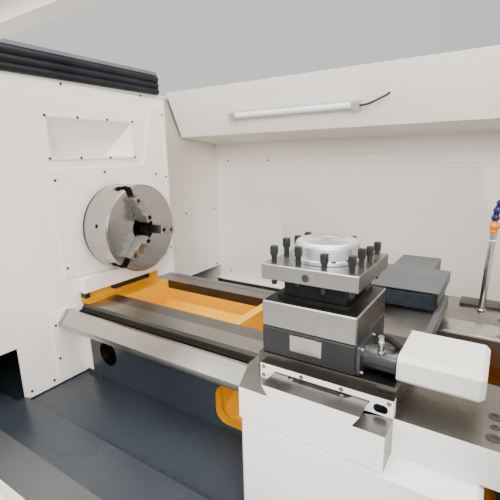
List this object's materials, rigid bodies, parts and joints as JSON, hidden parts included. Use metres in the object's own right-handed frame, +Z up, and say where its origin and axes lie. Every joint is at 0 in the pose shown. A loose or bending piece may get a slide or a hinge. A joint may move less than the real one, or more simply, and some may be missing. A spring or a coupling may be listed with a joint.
{
  "type": "cnc turning lathe",
  "caption": "Flat-bed turning lathe in a sheet guard: chuck with stepped jaws, dovetail cross slide, square indexing tool post, tailstock, sliding door.",
  "frame": {"origin": "centre of the floor plan at the underside of the levelling pads", "axes": "+X along the bed from the headstock to the tailstock, +Y from the operator to the back, +Z up"},
  "size_m": [2.54, 1.4592, 1.513],
  "materials": {
    "cream_paint": "satin paint",
    "white_paint": "satin paint",
    "bed_yellow": "gloss paint on casting",
    "slate_paint": "satin paint",
    "charcoal_paint": "satin paint",
    "grey_paint": "satin paint",
    "black_rubber": "matte",
    "ground_steel": "ground",
    "pipe_chrome": "polished",
    "dark_steel": "blackened",
    "cast_iron": "machined",
    "turned_aluminium": "turned",
    "lamp_diffuser": "clear diffuser",
    "window_glazing": "clear pane",
    "screen_glass": "dark screen",
    "red_plastic": "moulded",
    "blue_plastic": "moulded links"
  },
  "bodies": {
    "frame": {"headstock_side_wall": "cream_paint", "wall_pocket": "cream_paint", "chuck_cover_panel": "cream_paint", "cover_beam": "cream_paint", "headstock_guard": "cream_paint", "rear_guard": "cream_paint", "canopy": "cream_paint", "front_guard": "cream_paint", "electrical_cabinet": "cream_paint", "bed": "bed_yellow", "base": "slate_paint", "chip_tray": "slate_paint", "z_servo_motor": "slate_paint", "headstock_housing": "grey_paint", "spindle_motor": "grey_paint", "lamp_housing": "grey_paint", "control_housing": "grey_paint", "drive_belt": "black_rubber", "beam_seal": "black_rubber", "top_seal_rail": "black_rubber", "lamp_cable": "black_rubber", "lamp_lens": "lamp_diffuser", "control_screen": "screen_glass"},
    "spindle": {"spindle": "ground_steel", "chuck_backplate": "dark_steel", "chuck_body": "ground_steel"},
    "scroll": {"chuck_scroll": "dark_steel"},
    "jaw_1": {"jaw_1": "ground_steel"},
    "jaw_2": {"jaw_2": "ground_steel"},
    "jaw_3": {"jaw_3": "ground_steel"},
    "motor_pulley": {"motor_pulley": "dark_steel"},
    "saddle": {"saddle": "ground_steel", "screw_cover": "black_rubber", "apron": "white_paint", "rear_slide_cover": "slate_paint", "x_servo_motor": "slate_paint", "coolant_pipe": "pipe_chrome", "coolant_nozzle": "blue_plastic"},
    "cross_slide": {"cross_slide": "ground_steel", "slide_wiper": "white_paint", "slide_bar": "dark_steel", "tool_post_base": "charcoal_paint", "turret_motor": "charcoal_paint", "motor_cover": "cream_paint", "motor_conduit": "black_rubber"},
    "tool_post": {"tool_post_block": "ground_steel", "clamp_plate": "ground_steel", "tool_post_cap": "turned_aluminium"},
    "bed_screw": {"z_ball_screw": "ground_steel"},
    "cross_screw": {"x_ball_screw": "ground_steel"},
    "tailstock": {"tailstock_body": "cream_paint"},
    "quill": {"tailstock_quill": "ground_steel"},
    "tailstock_wheel": {"tailstock_handwheel": "cast_iron"},
    "door": {"door_panel": "cream_paint", "door_window": "window_glazing", "door_handle": "black_rubber"},
    "power_door": {"cabinet_door": "cream_paint"},
    "stop_button": {"emergency_stop": "red_plastic"},
    "mode_knob": {"mode_knob": "black_rubber"},
    "pulse_wheel": {"panel_handwheel": "black_rubber"}
  },
  "joints": [
    {"name": "spindle_turn", "type": "hinge", "parent": "frame", "child": "spindle", "pos_m": [-0.25, -0.1, 1.05], "axis": [1, 0, 0], "continuous": true},
    {"name": "scroll_turn", "type": "hinge", "parent": "spindle", "child": "scroll", "pos_m": [-0.213, -0.1, 1.05], "axis": [1, 0, 0], "range_deg": [-648, 108]},
    {"name": "jaw_slide_1", "type": "slide", "parent": "spindle", "child": "jaw_1", "axis": [0, 0.9848, -0.1736], "range_m": [-0.0181, 0.0031]},
    {"name": "jaw_slide_2", "type": "slide", "parent": "spindle", "child": "jaw_2", "axis": [0, -0.342, 0.9397], "range_m": [-0.0181, 0.0031]},
    {"name": "jaw_slide_3", "type": "slide", "parent": "spindle", "child": "jaw_3", "axis": [0, -0.6428, -0.766], "range_m": [-0.0181, 0.0031]},
    {"name": "motor_turn", "type": "hinge", "parent": "frame", "child": "motor_pulley", "pos_m": [-1.08, 0.245, 0.76], "axis": [1, 0, 0], "continuous": true},
    {"name": "saddle_travel", "type": "slide", "parent": "frame", "child": "saddle", "axis": [1, 0, 0], "range_m": [-0.46, 0.05]},
    {"name": "cross_travel", "type": "slide", "parent": "saddle", "child": "cross_slide", "axis": [0, 1, 0], "range_m": [-0.05, 0.12]},
    {"name": "tool_post_turn", "type": "hinge", "parent": "cross_slide", "child": "tool_post", "pos_m": [0.491, -0.299, 1.05], "axis": [0, 0, 1], "continuous": true},
    {"name": "bed_screw_turn", "type": "hinge", "parent": "frame", "child": "bed_screw", "pos_m": [0.15, 0.17, 0.788], "axis": [1, 0, 0], "continuous": true},
    {"name": "cross_screw_turn", "type": "hinge", "parent": "saddle", "child": "cross_screw", "pos_m": [0.519, -0.1, 0.9015], "axis": [0, 1, 0], "continuous": true},
    {"name": "tailstock_travel", "type": "slide", "parent": "frame", "child": "tailstock", "axis": [1, 0, 0], "range_m": [-0.05, 0.01]},
    {"name": "quill_travel", "type": "slide", "parent": "tailstock", "child": "quill", "axis": [1, 0, 0], "range_m": [-0.08, 0]},
    {"name": "tailstock_wheel_turn", "type": "hinge", "parent": "tailstock", "child": "tailstock_wheel", "pos_m": [1.19, -0.1, 1.05], "axis": [1, 0, 0], "continuous": true},
    {"name": "door_travel", "type": "slide", "parent": "frame", "child": "door", "axis": [1, 0, 0], "range_m": [0, 0.97]},
    {"name": "power_door_swing", "type": "hinge", "parent": "frame", "child": "power_door", "pos_m": [-1.23, 0.724, 0.85], "axis": [0, 0, 1], "range_deg": [0, 110]},
    {"name": "stop_press", "type": "slide", "parent": "frame", "child": "stop_button", "axis": [0, 1, 0], "range_m": [0, 0.005], "stiffness_N_per_m": 900, "springref_m": -0.004},
    {"name": "mode_knob_turn", "type": "hinge", "parent": "frame", "child": "mode_knob", "pos_m": [1.09, -0.69, 1.1], "axis": [0, 1, 0], "range_deg": [-60, 60]},
    {"name": "pulse_wheel_turn", "type": "hinge", "parent": "frame", "child": "pulse_wheel", "pos_m": [0.96, -0.69, 1.12], "axis": [0, 1, 0], "continuous": true}
  ],
  "couplings": [
    {"joint": "jaw_slide_1", "follows": "scroll_turn", "m_per_rad": 0.0015915},
    {"joint": "jaw_slide_2", "follows": "scroll_turn", "m_per_rad": 0.0015915},
    {"joint": "jaw_slide_3", "follows": "scroll_turn", "m_per_rad": 0.0015915},
    {"joint": "motor_turn", "follows": "spindle_turn", "ratio": 1.5},
    {"joint": "bed_screw_turn", "follows": "saddle_travel", "rad_per_m": 628.32},
    {"joint": "cross_screw_turn", "follows": "cross_travel", "rad_per_m": 1256.6},
    {"joint": "tailstock_wheel_turn", "follows": "quill_travel", "rad_per_m": 1256.6}
  ]
}
